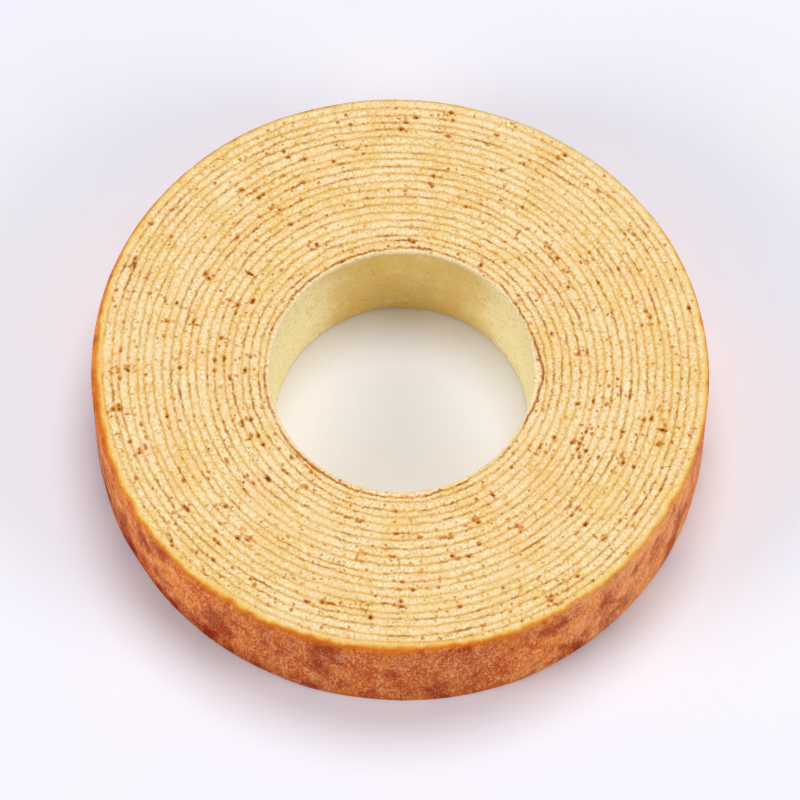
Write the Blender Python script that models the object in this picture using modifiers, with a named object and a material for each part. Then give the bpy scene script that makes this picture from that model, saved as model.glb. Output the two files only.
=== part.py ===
"""Baumkuchen: a ring cake of many thin layers, baked one round another on a turning rod and cut square across.

Each baked layer is a ring of its own that runs through the whole height of the cake, from the skin of the
hole to the browned outside. Where two layers meet, the batter was browned before the next coat went on: there
the rings stand a hair apart, and their tops swell a little between, as they do at the real cut.

Metres, +Z up. The cake lies on its lower cut face. The origin is the middle of that face.
"""

import math

import bpy
from mathutils import Matrix, Vector

# Driving dimensions.
OUTER_DIAMETER = 0.1620
HOLE_DIAMETER = 0.0695
HEIGHT = 0.0310
LAYER_COUNT = 21
LAYER_GAP = 0.0003

# The rod was slightly conical, so the hole is narrower at the foot. The outside is a little wider there.
HOLE_TAPER = 0.0016
OUTSIDE_FLARE = 0.0004

# Thickness of a layer, compared with a middling one. The first coats on the hot rod come out thin, the rest
# thin slowly outwards, and the last one carries the crust.
FIRST_COAT = 0.50
COATS_TO_FULL = 1.1
INNER_COAT = 1.04
OUTER_COAT = 0.96
CRUST_COAT = 1.44

# Shape of a layer's section.
CROWN = 0.00025
LIP_ROUNDING = 0.0004
TOP_ROUNDING = 0.0014
FOOT_ROUNDING = 0.0008
ARC_STEPS = 3

# The cake isn't quite round: waves around it, how deep they are, and the direction of a crest in degrees.
OUTLINE_WAVES = (
    (2, 0.0005, 123.0),
    (3, 0.0003, 24.0),
    (4, 0.0001, 35.0),
)
# The hole is uneven in its own way, and lies a little off the middle of the outline.
HOLE_WAVES = ((2, 0.0003, 81.0),)
HOLE_SHIFT = Vector((0.0005, -0.0009))

SEGMENTS = 60
SHARP_ANGLE = math.radians(35)
MERGE_DISTANCE = 0.00001

CRUMB_COLOR = (0.93, 0.68, 0.36)
CRUMB_TONE_STEP = 0.03
HOLE_SKIN_COLOR = (0.76, 0.60, 0.29)
CRUST_COLOR = (0.50, 0.17, 0.05)
CRUMB_ROUGHNESS = 0.75
CRUST_ROUGHNESS = 0.50

OUTER_RADIUS = OUTER_DIAMETER / 2
HOLE_RADIUS = HOLE_DIAMETER / 2


def clear_scene():
    """Removes whatever the scene opened with."""
    for thing in list(bpy.data.objects):
        bpy.data.objects.remove(thing, do_unlink=True)


def new_collection(name):
    """An empty collection in the scene."""
    collection = bpy.data.collections.new(name)
    bpy.context.scene.collection.children.link(collection)
    return collection


def finish(name, color, roughness):
    """A plain Principled material."""
    material = bpy.data.materials.new(name)
    material.use_nodes = True
    shader = material.node_tree.nodes["Principled BSDF"]
    shader.inputs["Base Color"].default_value = (*color, 1.0)
    shader.inputs["Roughness"].default_value = roughness
    shader.inputs["Metallic"].default_value = 0.0
    return material


def layer_finish(number):
    """The layer's own material: hole skin, crust, or crumb whose tone steps a little from layer to layer."""
    name = f"layer_{number:02d}_finish"
    if number == 1:
        return finish(name, HOLE_SKIN_COLOR, CRUMB_ROUGHNESS)
    if number == LAYER_COUNT:
        return finish(name, CRUST_COLOR, CRUST_ROUGHNESS)
    tone = 1 + CRUMB_TONE_STEP * (number % 2)
    return finish(name, [channel * tone for channel in CRUMB_COLOR], CRUMB_ROUGHNESS)


def relative_thickness(index):
    """Thickness of a layer compared with a middling one, counted from the hole."""
    if index == LAYER_COUNT - 1:
        return CRUST_COAT
    settled = 1 - (1 - FIRST_COAT) * math.exp(-index / COATS_TO_FULL)
    share = index / (LAYER_COUNT - 1)
    return settled * (INNER_COAT + (OUTER_COAT - INNER_COAT) * share)


def layer_radii():
    """Radius of each meeting of two layers at the top face, with the hole first and the outside last."""
    thickness = [relative_thickness(index) for index in range(LAYER_COUNT)]
    unit = (OUTER_RADIUS - HOLE_RADIUS) / sum(thickness)
    radii = [HOLE_RADIUS]
    for value in thickness:
        radii.append(radii[-1] + value * unit)
    return radii


def share_across(radius):
    """How far a radius lies from the hole, 0, to the outside, 1."""
    return (radius - HOLE_RADIUS) / (OUTER_RADIUS - HOLE_RADIUS)


def foot_radius(radius):
    """Where the layer line that has this radius at the top comes out at the foot."""
    share = share_across(radius)
    return radius - HOLE_TAPER / 2 * (1 - share) + OUTSIDE_FLARE / 2 * share


def arc(centre, rounding, start, end):
    """Points on a quarter round, between two directions in degrees."""
    points = []
    for step in range(ARC_STEPS + 1):
        angle = math.radians(start + (end - start) * step / ARC_STEPS)
        points.append((centre[0] + rounding * math.cos(angle), centre[1] + rounding * math.sin(angle)))
    return points


def crumb_section(inner, outer):
    """Section of a layer between two others: down its outer side, along the foot and up again to a low crown."""
    shoulder = HEIGHT - CROWN
    return [
        (outer, shoulder),
        (foot_radius(outer), 0),
        (foot_radius(inner), 0),
        (inner, shoulder),
        ((inner + outer) / 2, HEIGHT),
    ]


def hole_section(inner, outer):
    """Section of the first layer, whose lip is softened where it turns down into the hole."""
    shoulder = HEIGHT - CROWN
    return [
        (outer, shoulder),
        (foot_radius(outer), 0),
        (foot_radius(inner), 0),
        (inner, shoulder - LIP_ROUNDING),
        (inner + LIP_ROUNDING, shoulder),
    ]


def crust_section(inner, outer):
    """Section of the last layer, rounded at its top rim and, more tightly, at its foot."""
    foot = foot_radius(outer)
    top_rim = arc((outer - TOP_ROUNDING, HEIGHT - CROWN - TOP_ROUNDING), TOP_ROUNDING, 90, 0)
    foot_rim = arc((foot - FOOT_ROUNDING, FOOT_ROUNDING), FOOT_ROUNDING, 0, -90)
    middle = (inner + outer - TOP_ROUNDING) / 2
    return top_rim + foot_rim + [(foot_radius(inner), 0), (inner, HEIGHT - CROWN), (middle, HEIGHT)]


def layer_section(index, radii):
    """Section of a layer, drawn in by half the gap where it meets another."""
    inner = radii[index]
    outer = radii[index + 1]
    if index == 0:
        return hole_section(inner, outer - LAYER_GAP / 2)
    if index == LAYER_COUNT - 1:
        return crust_section(inner + LAYER_GAP / 2, outer)
    return crumb_section(inner + LAYER_GAP / 2, outer - LAYER_GAP / 2)


def turned_mesh(name, section):
    """The section turned once about the Z axis, as a mesh."""
    profile = bpy.data.meshes.new(name + "_section")
    corners = [(radius, 0, height) for radius, height in section]
    sides = [(corner, (corner + 1) % len(corners)) for corner in range(len(corners))]
    profile.from_pydata(corners, sides, [])
    guide = bpy.data.objects.new(name + "_guide", profile)
    bpy.context.scene.collection.objects.link(guide)
    screw = guide.modifiers.new("Turn", "SCREW")
    screw.steps = SEGMENTS
    screw.render_steps = SEGMENTS
    screw.use_merge_vertices = True
    screw.merge_threshold = MERGE_DISTANCE
    graph = bpy.context.evaluated_depsgraph_get()
    mesh = bpy.data.meshes.new_from_object(guide.evaluated_get(graph))
    bpy.data.objects.remove(guide, do_unlink=True)
    bpy.data.meshes.remove(profile)
    return mesh


def standing_out(waves, angle):
    """How far a wavy ring stands out from round in one direction."""
    return sum(depth * math.cos(count * (angle - math.radians(crest))) for count, depth, crest in waves)


def make_uneven(mesh):
    """Moves each point of a round layer to where the uneven cake has it. The hole's form fades out quickly."""
    for vertex in mesh.vertices:
        flat = vertex.co.xy
        angle = math.atan2(flat.y, flat.x)
        inwards = 1 - share_across(flat.length)
        outline = standing_out(OUTLINE_WAVES, angle)
        reach = outline + (standing_out(HOLE_WAVES, angle) - outline) * inwards**2
        vertex.co.xy = flat + flat.normalized() * reach + HOLE_SHIFT * inwards


def middle_of(mesh):
    """Middle of the mesh's box, seen from above."""
    across = [vertex.co.x for vertex in mesh.vertices]
    along = [vertex.co.y for vertex in mesh.vertices]
    return Vector(((min(across) + max(across)) / 2, (min(along) + max(along)) / 2, 0))


def add_layer(collection, name, mesh, material):
    """Puts a finished layer in the collection."""
    mesh.name = name
    mesh.materials.append(material)
    mesh.shade_smooth()
    mesh.set_sharp_from_angle(angle=SHARP_ANGLE)
    collection.objects.link(bpy.data.objects.new(name, mesh))


def build_cake():
    """All the layers, from the hole outwards, with the outline's middle on the Z axis."""
    collection = new_collection("baumkuchen")
    radii = layer_radii()
    meshes = []
    for index in range(LAYER_COUNT):
        mesh = turned_mesh(f"layer_{index + 1:02d}", layer_section(index, radii))
        make_uneven(mesh)
        meshes.append(mesh)
    to_middle = Matrix.Translation(-middle_of(meshes[-1]))
    for index, mesh in enumerate(meshes):
        mesh.transform(to_middle)
        add_layer(collection, f"layer_{index + 1:02d}", mesh, layer_finish(index + 1))


clear_scene()
build_cake()
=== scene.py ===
"""The looks of a baumkuchen: each baked layer as a fine mesh, with its browned lines, pores and crust.

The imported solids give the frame. Each layer's solid is replaced by a detailed ring of the same form: a cut
face above and below, grooved where the layers meet, a smooth skin in the hole and a mottled crust outside.
Lengths are in metres unless a name ends in _mm. +Z is up, and the cake lies on the floor at height zero.
"""

import logging
import math
from dataclasses import dataclass
from enum import Enum
from functools import lru_cache
from typing import ClassVar, TypeAlias

import bpy
import numpy as np
from mathutils import Matrix, Vector


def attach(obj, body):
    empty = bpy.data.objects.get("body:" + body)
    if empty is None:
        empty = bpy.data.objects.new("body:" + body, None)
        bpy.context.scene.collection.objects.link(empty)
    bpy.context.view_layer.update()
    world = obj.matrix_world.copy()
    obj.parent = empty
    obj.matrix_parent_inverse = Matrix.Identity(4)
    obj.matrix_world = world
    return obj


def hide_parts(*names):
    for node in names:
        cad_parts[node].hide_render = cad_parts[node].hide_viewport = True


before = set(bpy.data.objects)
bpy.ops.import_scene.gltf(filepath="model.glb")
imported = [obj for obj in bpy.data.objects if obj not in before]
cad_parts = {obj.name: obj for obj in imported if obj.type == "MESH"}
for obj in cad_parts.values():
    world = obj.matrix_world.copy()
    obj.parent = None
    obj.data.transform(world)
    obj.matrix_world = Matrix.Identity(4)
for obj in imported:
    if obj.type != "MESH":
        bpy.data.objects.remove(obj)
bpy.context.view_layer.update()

log = logging.getLogger("baumkuchen")

MM = 0.001
BODY = "root"
TURN = 2 * math.pi

Triple: TypeAlias = tuple[float, float, float]
Color: TypeAlias = Triple
Waves: TypeAlias = tuple[tuple[int, float, float], ...]
Socket: TypeAlias = bpy.types.NodeSocket
Operand: TypeAlias = "Signal | Socket | float | tuple[float, ...]"


def tone(red: int, green: int, blue: int) -> Color:
    """A linear colour from the 0 to 255 values that a screen shows."""
    shown = [channel / 255 for channel in (red, green, blue)]
    return tuple(c / 12.92 if c <= 0.04045 else ((c + 0.055) / 1.055) ** 2.4 for c in shown)


class Face(Enum):
    """The two cut faces of the cake."""

    UPPER = 1
    LOWER = 2


class Side(Enum):
    """The two upright sides of a layer. The value is the side's column in the rows of a cut face."""

    INNER = 0
    OUTER = -1


class Spread(Enum):
    """Where dots lie: all through the cake, like bubbles, or over a level face."""

    SOLID = "3D"
    LEVEL = "2D"


@dataclass(frozen=True)
class Scatter:
    """Round dots at random places, at most one in each cell, and the share of the cells that hold one."""

    apart_mm: float
    radius_mm: tuple[float, float]
    share: float
    spread: Spread = Spread.SOLID


class Signal:
    """One number that varies over a surface. Its arithmetic adds Math nodes."""

    def __init__(self, net: "Net", socket: Socket) -> None:
        """Wraps an output socket of the net."""
        self.net = net
        self.socket = socket

    def _math(self, operation: str, *operands: Operand) -> "Signal":
        """A Math node on the operands, in their order."""
        node = self.net.node("ShaderNodeMath", {"operation": operation}, dict(enumerate(operands)))
        return Signal(self.net, node.outputs[0])

    def __add__(self, other: Operand) -> "Signal":
        """The sum."""
        return self._math("ADD", self, other)

    __radd__ = __add__

    def __sub__(self, other: Operand) -> "Signal":
        """The difference."""
        return self._math("SUBTRACT", self, other)

    def __rsub__(self, other: Operand) -> "Signal":
        """The difference, with this value taken away."""
        return self._math("SUBTRACT", other, self)

    def __mul__(self, other: Operand) -> "Signal":
        """The product."""
        return self._math("MULTIPLY", self, other)

    __rmul__ = __mul__


class Net:
    """A material's node tree and the ways to add to it."""

    noise_middle: ClassVar[float] = 0.5
    noise_reach: ClassVar[float] = 0.25

    def __init__(self, name: str) -> None:
        """Starts a material that holds a Principled shader."""
        self.material = bpy.data.materials.new(name)
        self.material.use_nodes = True
        self.tree = self.material.node_tree
        self.shader = self.tree.nodes["Principled BSDF"]

    def node(
        self,
        kind: str,
        settings: dict[str, object] | None = None,
        sockets: dict[str | int, Operand] | None = None,
    ) -> bpy.types.Node:
        """Adds a node.

        Args:
            kind: the node's type, such as ShaderNodeMath.
            settings: its own settings, which are set before any socket.
            sockets: a value or a link for each input, by name or by number.

        Returns:
            The new node.
        """
        made = self.tree.nodes.new(kind)
        for name, value in (settings or {}).items():
            setattr(made, name, value)
        for name, value in (sockets or {}).items():
            self.feed(made.inputs[name], value)
        return made

    def feed(self, socket: Socket, value: Operand) -> None:
        """Links a varying value to a socket, or sets a fixed one on it.

        Args:
            socket: the input.
            value: a signal, an output socket, a number, a colour or a vector.
        """
        if isinstance(value, Signal):
            self.tree.links.new(value.socket, socket)
        elif isinstance(value, Socket):
            self.tree.links.new(value, socket)
        elif isinstance(value, tuple) and socket.type == "RGBA":
            socket.default_value = (*value[:3], 1.0)
        else:
            socket.default_value = value

    def stored(self, name: str) -> Signal:
        """A number that the mesh holds at each of its points."""
        node = self.node("ShaderNodeAttribute", {"attribute_name": name})
        return Signal(self, node.outputs["Fac"])

    def vector(self, operation: str, sockets: dict[str | int, Operand]) -> Socket:
        """What a Vector Math node makes of its inputs."""
        return self.node("ShaderNodeVectorMath", {"operation": operation}, sockets).outputs["Vector"]

    def place_mm(self, stretch: Triple = (1.0, 1.0, 1.0)) -> Socket:
        """Where the point lies on the object, in millimetres.

        Args:
            stretch: how many times longer a pattern is drawn along each axis.

        Returns:
            The coordinates.
        """
        place = self.node("ShaderNodeTexCoord").outputs["Object"]
        return self.vector("MULTIPLY", {0: place, 1: tuple(1 / MM / value for value in stretch)})

    def moved(self, place: Socket, distance: float) -> Socket:
        """The coordinates moved along, so that a second pattern differs from the first."""
        return self.vector("ADD", {0: place, 1: (distance, distance, distance)})

    def noise(self, place: Socket, size_mm: float, detail: float = 2.0, shift: float = 0.0) -> Signal:
        """Soft noise round one half.

        Args:
            place: coordinates in millimetres.
            size_mm: how large its blotches are.
            detail: how many finer octaves are laid over them.
            shift: moves the pattern, so that two noises differ.

        Returns:
            The noise, mostly between 0.25 and 0.75.
        """
        sockets = {"Vector": self.moved(place, shift), "Scale": 1 / size_mm, "Detail": detail}
        return Signal(self, self.node("ShaderNodeTexNoise", None, sockets).outputs[0])

    def sway(
        self, place: Socket, size_mm: float, amount: float, detail: float = 2.0, shift: float = 0.0
    ) -> Signal:
        """Soft noise round nothing, mostly within a quarter of the amount on both sides."""
        return (self.noise(place, size_mm, detail, shift) - self.noise_middle) * amount

    def warped(self, place: Socket, size_mm: float, reach_mm: float, shift: float) -> Socket:
        """The coordinates pushed about, so that what is drawn with them turns ragged.

        Args:
            place: coordinates in millimetres.
            size_mm: how far apart the pushes differ.
            reach_mm: how far a point is pushed, mostly.
            shift: picks the pattern.

        Returns:
            The new coordinates.
        """
        sockets = {"Vector": self.moved(place, shift), "Scale": 1 / size_mm, "Detail": 1.0}
        push = self.node("ShaderNodeTexNoise", None, sockets).outputs["Color"]
        centred = self.vector("SUBTRACT", {0: push, 1: (self.noise_middle,) * 3})
        scaled = self.vector("SCALE", {0: centred, "Scale": reach_mm / self.noise_reach})
        return self.vector("ADD", {0: place, 1: scaled})

    def cells(self, place: Socket, apart_mm: float, settings: dict[str, object]) -> bpy.types.Node:
        """A Voronoi node with cells of this size."""
        sockets = {"Vector": place, "Scale": 1 / apart_mm, "Randomness": 1.0}
        return self.node("ShaderNodeTexVoronoi", settings, sockets)

    def seams(self, place: Socket, apart_mm: float) -> Signal:
        """How far each point of a level face lies from the seams between crumbs, in millimetres."""
        cells = self.cells(place, apart_mm, {"voronoi_dimensions": "2D", "feature": "DISTANCE_TO_EDGE"})
        return Signal(self, cells.outputs["Distance"]) * apart_mm

    def dots(self, place: Socket, scatter: Scatter) -> Signal:
        """Scattered round dots.

        Args:
            place: coordinates in millimetres.
            scatter: how large the cells and the dots are, and how many cells hold one.

        Returns:
            How far inside a dot the point lies, in millimetres; negative outside.
        """
        cells = self.cells(place, scatter.apart_mm, {"voronoi_dimensions": scatter.spread.value})
        luck = self.node("ShaderNodeSeparateColor", None, {"Color": cells.outputs["Color"]})
        size = Signal(self, luck.outputs[0])
        held = self.step(Signal(self, luck.outputs[1]), scatter.share, scatter.share - 0.02)
        distance = Signal(self, cells.outputs["Distance"]) * scatter.apart_mm
        smallest, largest = scatter.radius_mm
        radius = smallest + (largest - smallest) * size * size
        return held * radius - distance - (1 - held)

    def along(self, place: Socket, axis: str) -> Signal:
        """The part of the coordinates along the X, Y or Z axis."""
        return Signal(self, self.node("ShaderNodeSeparateXYZ", None, {"Vector": place}).outputs[axis])

    def step(self, value: Signal, low: float, high: float) -> Signal:
        """Rises smoothly from 0 to 1 as the value goes from low to high, or falls if low is the greater."""
        node = self.node(
            "ShaderNodeMapRange",
            {"interpolation_type": "SMOOTHSTEP", "clamp": True},
            {"Value": value, "From Min": low, "From Max": high},
        )
        return Signal(self, node.outputs["Result"])

    def mix(self, below: Operand, above: Operand, amount: Operand) -> Socket:
        """Lays one colour over another.

        Args:
            below: the colour where amount is 0.
            above: the colour where amount is 1.
            amount: how much of the upper colour shows.

        Returns:
            The mixed colour.
        """
        settings = {"data_type": "RGBA", "clamp_factor": True}
        return self.node("ShaderNodeMix", settings, {0: amount, 6: below, 7: above}).outputs[2]

    def bump(self, height: Signal, depth_mm: float) -> Socket:
        """The shading of a relief too fine for the mesh.

        Args:
            height: the relief, from 0 to 1.
            depth_mm: how deep the relief is where it falls from 1 to 0.

        Returns:
            The bent normal.
        """
        sockets = {"Height": height, "Distance": depth_mm * MM, "Strength": 1.0}
        return self.node("ShaderNodeBump", None, sockets).outputs["Normal"]

    def finished(
        self, color: Operand, roughness: Operand, shine: float, normal: Socket
    ) -> bpy.types.Material:
        """Feeds the shader.

        Args:
            color: the base colour.
            roughness: 0 for a mirror, 1 for chalk.
            shine: how strongly the surface reflects; 0.5 is common.
            normal: the bent normal.

        Returns:
            The material.
        """
        self.shader.inputs["Specular IOR Level"].default_value = shine
        self.feed(self.shader.inputs["Base Color"], color)
        self.feed(self.shader.inputs["Roughness"], roughness)
        self.feed(self.shader.inputs["Normal"], normal)
        return self.material


@dataclass(frozen=True)
class CrumbFinish:
    """The cut crumb: cream, yellower towards the browned lines, with pinholes, stains and caramel pores."""

    cream: Color = tone(250, 229, 184)
    blush: Color = tone(250, 217, 168)
    yellow: Color = tone(243, 211, 140)
    # pale is a painted highlight on the tops of the crumbs, and shade a painted shade between them.
    pale: Color = tone(253, 241, 210)
    shade: Color = tone(236, 189, 106)
    seam: Color = tone(212, 154, 56)
    halo: Color = tone(242, 199, 110)
    line_faint: Color = tone(218, 160, 54)
    line_dark: Color = tone(172, 84, 10)
    pinhole: Color = tone(172, 98, 18)
    freckle: Color = tone(158, 80, 4)
    stain: Color = tone(222, 146, 34)
    pore_edge: Color = tone(206, 122, 20)
    pore_deep: Color = tone(132, 54, 2)
    roughness: float = 0.75
    shine: float = 0.05
    bump_mm: float = 0.17
    crumb_mm: float = 0.70
    seams_mm: float = 1.5
    stains: Scatter = Scatter(3.1, (0.10, 0.62), 0.62, Spread.LEVEL)
    pinholes: Scatter = Scatter(1.35, (0.05, 0.22), 0.60, Spread.LEVEL)
    freckles: Scatter = Scatter(2.3, (0.05, 0.36), 0.36, Spread.LEVEL)

    def ground(self, net: Net, place: Socket, lumps: Signal, lively: Signal) -> Socket:
        """The bare crumb's colour, with painted highlights on the tops of the crumbs and painted shade
        between them.

        Args:
            net: the material that it is drawn in.
            place: coordinates in millimetres.
            lumps: the single crumbs, from 0 to 1.
            lively: how strongly the crumbs show, from 0 to 1.

        Returns:
            The colour.
        """
        blushing = net.noise(place, 12.0, 2.0, 3.0) + net.sway(place, 1.6, 0.5, 2.0, 4.0)
        color = net.mix(self.cream, self.blush, net.step(blushing, 0.42, 0.66))
        yellowing = net.noise(place, 9.0, 2.0, 9.0) + net.sway(place, 2.4, 0.6, 2.0, 10.0)
        color = net.mix(color, self.yellow, net.step(yellowing, 0.44, 0.70) * 0.85)
        # Painted shade between the crumbs and painted highlights on their tops, following the lumps of the
        # relief.
        color = net.mix(color, self.shade, net.step(lumps, 0.52, 0.34) * (0.30 + 0.42 * lively))
        return net.mix(color, self.pale, net.step(lumps, 0.52, 0.68) * (0.45 + 0.35 * lively))

    def browned(self, net: Net, place: Socket, color: Socket, lively: Signal) -> tuple[Socket, Signal]:
        """Draws the browned lines over a colour.

        Args:
            net: the material that it is drawn in.
            place: coordinates in millimetres.
            color: the colour of the crumb.
            lively: how strongly the lines show, from 0 to 1.

        Returns:
            The new colour, and where the lines are, from 0 to 1.
        """
        browning = net.stored("browning")
        gap = net.stored("line_gap") + (net.sway(place, 0.6, 0.54) + net.sway(place, 3.6, 0.24, 1.0, 7.0))
        color = net.mix(color, self.halo, net.step(gap, 1.0, 0.15) * 0.42)
        line = net.step(gap - browning * 0.11, 0.38, 0.04)
        region = net.sway(place, 8.0, 1.7, 2.0, 35.0)
        strength = net.step(browning + region + net.sway(place, 1.2, 1.7, 2.0, 31.0), 0.30, 1.10)
        beads = net.step(net.noise(place, 0.8, 1.0, 33.0), 0.34, 0.62)
        line_color = net.mix(self.line_faint, self.line_dark, strength)
        amount = line * (0.40 + 0.26 * beads + 0.24 * strength) * (0.64 + 0.36 * lively)
        return net.mix(color, line_color, amount), line

    def spotted(self, net: Net, place: Socket, color: Socket) -> tuple[Socket, Signal]:
        """Draws the amber stains, the pinholes and the larger freckles over a colour.

        Args:
            net: the material that it is drawn in.
            place: coordinates in millimetres.
            color: the colour of the crumb.

        Returns:
            The new colour, and where the holes are, from 0 to 1.
        """
        ragged = net.warped(place, 0.55, 0.32, 21.0)
        crowded = net.sway(place, 10.0, 0.45, 2.0, 25.0)
        stained = net.dots(net.moved(ragged, 31.0), self.stains) + crowded
        color = net.mix(color, self.stain, net.step(stained, -0.16, 0.20) * 0.70)
        torn = net.step(net.seams(net.moved(ragged, 47.0), self.seams_mm), 0.15, 0.02)
        open_seams = torn * net.step(net.noise(place, 1.7, 2.0, 27.0), 0.52, 0.62)
        color = net.mix(color, self.seam, open_seams * 0.55)
        pinholes = net.step(net.dots(ragged, self.pinholes), -0.10, 0.08)
        color = net.mix(color, self.pinhole, pinholes * 0.56)
        freckled = net.dots(net.moved(ragged, 17.0), self.freckles) + crowded * 0.5
        color = net.mix(color, self.stain, net.step(freckled, -0.34, -0.04) * 0.60)
        freckles = net.step(freckled, -0.08, 0.10)
        color = net.mix(color, self.freckle, freckles * 0.74)
        return color, pinholes + freckles

    def surface(self, net: Net) -> tuple[Socket, Signal]:
        """The colour of the crumb and its fine relief.

        Args:
            net: the material that it is drawn in.

        Returns:
            The colour, and a height from 0 to 1.
        """
        place = net.place_mm()
        lumps = net.noise(net.warped(place, 1.6, 0.3, 13.0), self.crumb_mm, 2.0, 11.0)
        lively = net.step(net.noise(place, 12.0, 2.0, 15.0), 0.66, 0.50)
        color = self.ground(net, place, lumps, lively)
        color, line = self.browned(net, place, color, lively)
        color, holes = self.spotted(net, place, color)

        pore = net.stored("pore") + net.sway(place, 0.6, 1.0, 2.0, 41.0)
        color = net.mix(color, self.pore_edge, net.step(pore, -0.46, 0.02) * 0.80)
        color = net.mix(color, self.pore_deep, net.step(pore, 0.05, 0.34) * 0.90)

        fine = net.noise(place, 0.26, 1.0, 51.0)
        height = lumps * 0.7 + fine * 0.3 - holes * 0.08 - line * 0.05
        return color, height

    def material(self) -> bpy.types.Material:
        """The crumb on its own.

        Returns:
            The material.
        """
        net = Net("crumb")
        color, height = self.surface(net)
        return net.finished(color, self.roughness, self.shine, net.bump(height, self.bump_mm))


@dataclass(frozen=True)
class CrustFinish:
    """The last coat: crumb on the cut faces, a golden rim, and an orange-brown crust whose pale flecks are
    painted glints, with painted sheen and shade in some sectors and at the foot.
    """

    gold: Color = tone(243, 202, 100)
    amber_rim: Color = tone(229, 154, 62)
    orange: Color = tone(210, 108, 26)
    amber: Color = tone(240, 136, 40)
    tan: Color = tone(240, 152, 76)
    rosy_sheen: Color = tone(242, 174, 116)
    brown: Color = tone(204, 84, 22)
    browned: Color = tone(180, 66, 18)
    red_brown_and_shade: Color = tone(150, 34, 2)
    glint_fleck: Color = tone(246, 184, 132)
    crumb: CrumbFinish = CrumbFinish()
    roughness: tuple[float, float] = (0.55, 0.78)
    shine: float = 0.05
    bump_mm: float = 0.17
    patch_stretch: Triple = (1.0, 1.0, 1.6)
    grain_stretch: Triple = (1.0, 1.0, 2.2)
    left_shade_mm: tuple[float, float] = (10.0, -60.0)

    def dark(self, net: Net, place: Socket, tall: Socket, ragged: Socket, rough_part: Signal) -> Signal:
        """Where the crust is darkest: in patches of its own, and in painted shade along the foot, more so on
        the left.

        Args:
            net: the material that it is drawn in.
            place: coordinates in millimetres.
            tall: the same, stretched upwards.
            ragged: the stretched ones, pushed about.
            rough_part: where the grain is coarse and pale, from 0 to 1.

        Returns:
            How dark it is; 0 is not at all, and 1 or more is fully.
        """
        patches = net.noise(ragged, 3.6, 2.0, 63.0) * 0.42 + net.noise(tall, 9.0, 1.0, 69.0) * 0.58
        # Painted shade: on the left the dark band at the foot reaches higher and is darker.
        left = net.step(net.along(place, "X"), *self.left_shade_mm)
        above_foot = net.along(place, "Z") + net.sway(tall, 7.0, 16.0, 2.0, 62.0)
        # Painted shade along the foot, where the crust meets the floor.
        foot = net.step(above_foot - left * 5.0, 5.0, -3.0)
        patchy = net.step(patches + foot * 0.05 + rough_part * 0.04, 0.50, 0.70)
        return patchy * 0.80 + foot * (0.25 + 0.35 * left)

    def crust(self, net: Net, place: Socket, rough_part: Signal) -> tuple[Socket, Signal]:
        """The mottled colour of the crust and its fine relief.

        Args:
            net: the material that it is drawn in.
            place: coordinates in millimetres.
            rough_part: where the grain is coarse and pale, from 0 to 1.

        Returns:
            The colour, and a height from 0 to 1.
        """
        tall = net.place_mm(self.patch_stretch)
        ragged = net.warped(tall, 1.2, 0.5, 68.0)
        color = net.mix(self.amber, self.tan, net.step(net.noise(tall, 9.0, 1.0, 65.0), 0.44, 0.60))
        color = net.mix(color, self.brown, net.step(net.noise(ragged, 3.6, 3.0, 61.0), 0.42, 0.60) * 0.80)
        browning = net.stored("browning")
        # On the crust wall the stored browning holds the sectors of painted light: where it is positive the
        # browned colour is painted shade, and where it is negative the rosy colour is a painted sheen.
        color = net.mix(color, self.browned, net.step(browning, 0.0, 1.0) * 0.42)
        color = net.mix(color, self.rosy_sheen, net.step(browning, 0.0, -1.0) * (0.64 - 0.34 * rough_part))
        dark = self.dark(net, place, tall, ragged, rough_part)
        color = net.mix(color, self.red_brown_and_shade, dark)
        upright = net.place_mm(self.grain_stretch)
        grain = net.noise(upright, 0.70, 3.0, 67.0) * 0.55 + net.noise(upright, 0.28, 1.0, 70.0) * 0.45
        # Pale flecks on the grain are painted glints of sheen: in clusters, more on the coarse lower crust,
        # fewer where it is dark.
        clusters = net.step(net.noise(place, 3.0, 2.0, 64.0), 0.36, 0.62)
        pale = (0.26 + 0.34 * clusters + 0.22 * rough_part) * (1 - dark * 0.75)
        color = net.mix(color, self.glint_fleck, net.step(grain, 0.45, 0.64) * pale)
        color = net.mix(color, self.browned, net.step(grain, 0.50, 0.38) * 0.42)
        return color, grain

    def material(self) -> bpy.types.Material:
        """The whole of the last coat.

        Returns:
            The material.
        """
        net = Net("crust")
        place = net.place_mm()
        crumb_color, crumb_height = self.crumb.surface(net)
        down = net.stored("down")
        ragged = net.sway(place, 1.0, 1.2, 3.0, 71.0) + net.sway(place, 4.5, 5.0, 3.0, 73.0)
        rough_part = net.step(down + ragged * 2.0, 2.0, 7.0)
        crust_color, grain = self.crust(net, place, rough_part)
        # front follows the sectors of painted shade; the orange rim is drawn wider there and the crust begins
        # sooner.
        front = net.step(net.stored("browning"), -0.4, 1.0)
        golden = net.step(down + ragged * 0.4, -1.2, 0.3)
        tanned = net.step(down + ragged * 0.5, -0.2, 0.9)
        baked = net.step(down + ragged * 0.6, 0.3, 1.5)
        matured = net.step(down + ragged * 0.8 - front * 0.8, 0.2, 1.9)
        color = net.mix(crumb_color, self.gold, golden * 0.85)
        color = net.mix(color, self.amber_rim, tanned)
        color = net.mix(color, self.orange, baked * (0.25 + 0.75 * front))
        color = net.mix(color, crust_color, matured)
        smoothest, roughest = self.roughness
        rough = smoothest + (roughest - smoothest) * grain
        height = crumb_height * (1 - baked) + grain * baked * 0.5
        return net.finished(color, rough, self.shine, net.bump(height, self.bump_mm))


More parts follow.
